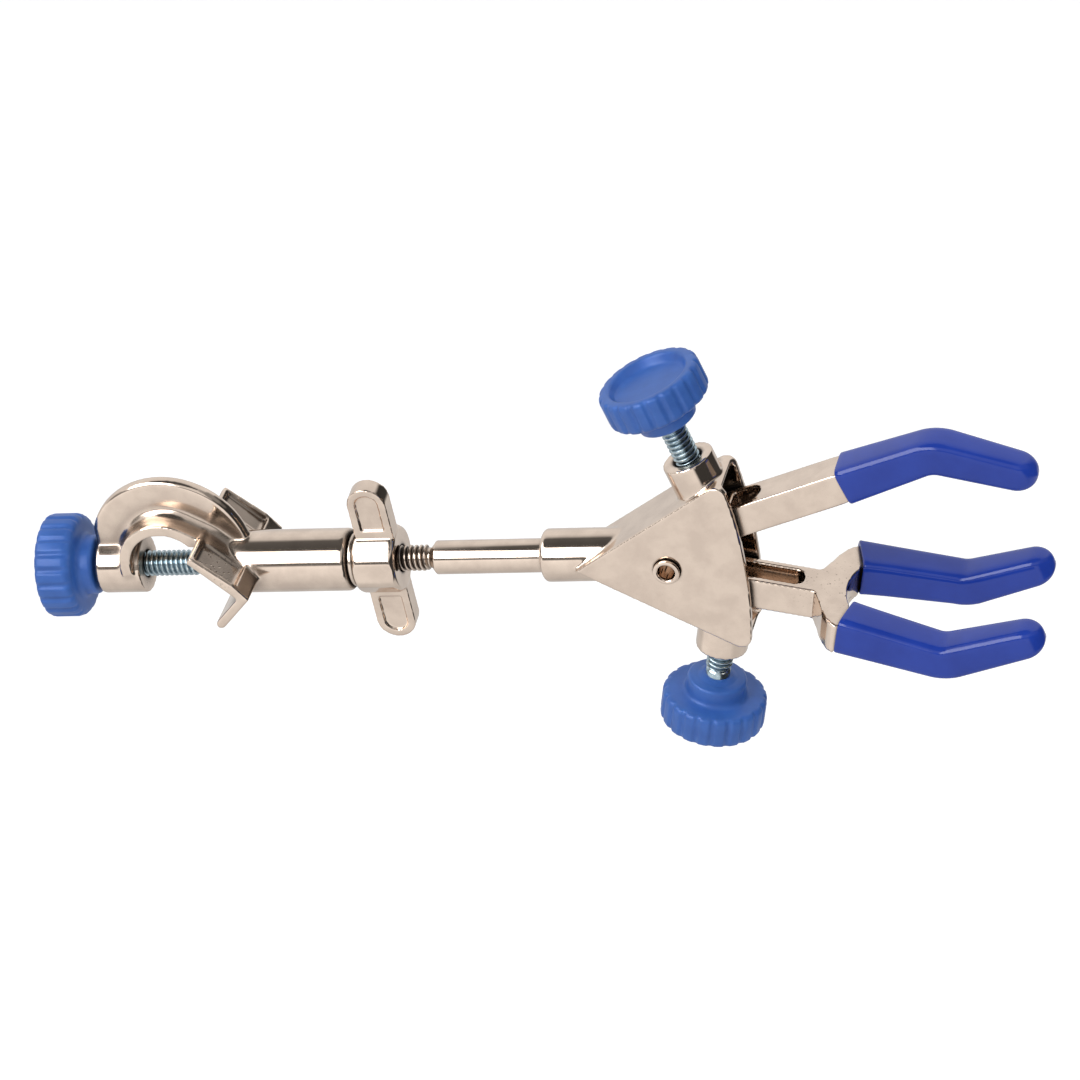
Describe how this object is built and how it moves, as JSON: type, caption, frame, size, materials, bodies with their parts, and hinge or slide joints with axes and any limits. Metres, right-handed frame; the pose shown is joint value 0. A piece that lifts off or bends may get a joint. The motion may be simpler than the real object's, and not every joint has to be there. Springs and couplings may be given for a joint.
{
  "type": "boss head clamp",
  "caption": "Swivel boss head with a V seat and hook for a stand rod, joined by a short rod to a laboratory clamp whose fork and opposed prong are set by knurled knobs",
  "frame": {"origin": "centre of a 15.5 mm stand rod seated in the boss head's V, where the extension rod's axis meets it", "axes": "+X along the extension rod towards the jaws, +Y along the stand rod and the jaws' pivot, away from the viewer, +Z towards the single upper prong"},
  "size_m": [0.247, 0.0402, 0.1025],
  "materials": {
    "casting": "bright nickel plate over a die casting, faintly rough in the flats",
    "screw": "bright zinc plate",
    "knob": "satin moulded plastic",
    "sleeve": "smooth soft vinyl",
    "spring": "drawn spring wire"
  },
  "bodies": {
    "boss": {"boss_head": "casting"},
    "boss_feed": {"boss_screw": "screw"},
    "boss_handle": {"boss_knob": "knob"},
    "clamp": {"extension_rod": "casting", "clamp_housing": "casting", "pivot_pin": "casting", "jaw_spring": "spring"},
    "washer": {"wing_washer": "casting"},
    "wing": {"wing_nut": "casting"},
    "single": {"upper_jaw": "casting", "upper_sleeve": "sleeve"},
    "fork": {"lower_jaw": "casting", "front_sleeve": "sleeve", "back_sleeve": "sleeve"},
    "upper_feed": {"upper_screw": "screw"},
    "upper_handle": {"upper_knob": "knob"},
    "lower_feed": {"lower_screw": "screw"},
    "lower_handle": {"lower_knob": "knob"}
  },
  "joints": [
    {"name": "boss_screw_feed", "type": "slide", "parent": "boss", "child": "boss_feed", "axis": [1, 0, 0], "range_m": [-0.016, 0.0001]},
    {"name": "boss_knob_turn", "type": "hinge", "parent": "boss_feed", "child": "boss_handle", "pos_m": [-0.03, 0, 0], "axis": [1, 0, 0], "range_deg": [-4536, 28.4]},
    {"name": "rod_swivel", "type": "hinge", "parent": "boss", "child": "clamp", "pos_m": [0.03, 0, 0], "axis": [1, 0, 0], "range_deg": [-180, 180]},
    {"name": "washer_feed", "type": "slide", "parent": "clamp", "child": "washer", "axis": [1, 0, 0], "range_m": [0, 0.0065]},
    {"name": "wing_nut_turn", "type": "hinge", "parent": "washer", "child": "wing", "pos_m": [0.042, 0, 0], "axis": [1, 0, 0], "range_deg": [0, 1842.5]},
    {"name": "upper_screw_feed", "type": "slide", "parent": "clamp", "child": "upper_feed", "axis": [0.2656, 0, -0.9641], "range_m": [-0.00243, 0.00458]},
    {"name": "upper_knob_turn", "type": "hinge", "parent": "upper_feed", "child": "upper_handle", "pos_m": [0.1249, 0, 0.02], "axis": [0.2656, 0, -0.9641], "range_deg": [-687.4, 1296.8]},
    {"name": "upper_jaw_pivot", "type": "hinge", "parent": "clamp", "child": "single", "pos_m": [0.1155, 0, 0], "axis": [0, 1, 0], "range_deg": [-9.71, 18.31], "deforming": ["jaw_spring"]},
    {"name": "lower_screw_feed", "type": "slide", "parent": "clamp", "child": "lower_feed", "axis": [0.2656, 0, 0.9641], "range_m": [-0.00375, 0.00325]},
    {"name": "lower_knob_turn", "type": "hinge", "parent": "lower_feed", "child": "lower_handle", "pos_m": [0.1249, 0, -0.02], "axis": [0.2656, 0, 0.9641], "range_deg": [-1063, 921.2]},
    {"name": "lower_jaw_pivot", "type": "hinge", "parent": "clamp", "child": "fork", "pos_m": [0.1155, 0, 0], "axis": [0, -1, 0], "range_deg": [-15.01, 13.01], "deforming": ["jaw_spring"]}
  ],
  "couplings": [
    {"joint": "boss_screw_feed", "follows": "boss_knob_turn", "m_per_rad": 0.00020213},
    {"joint": "washer_feed", "follows": "wing_nut_turn", "m_per_rad": 0.00020213},
    {"joint": "upper_screw_feed", "follows": "upper_knob_turn", "m_per_rad": 0.00020213},
    {"joint": "upper_jaw_pivot", "follows": "upper_knob_turn", "ratio": 0.014111},
    {"joint": "lower_screw_feed", "follows": "lower_knob_turn", "m_per_rad": 0.00020213},
    {"joint": "lower_jaw_pivot", "follows": "lower_knob_turn", "ratio": 0.014111}
  ]
}
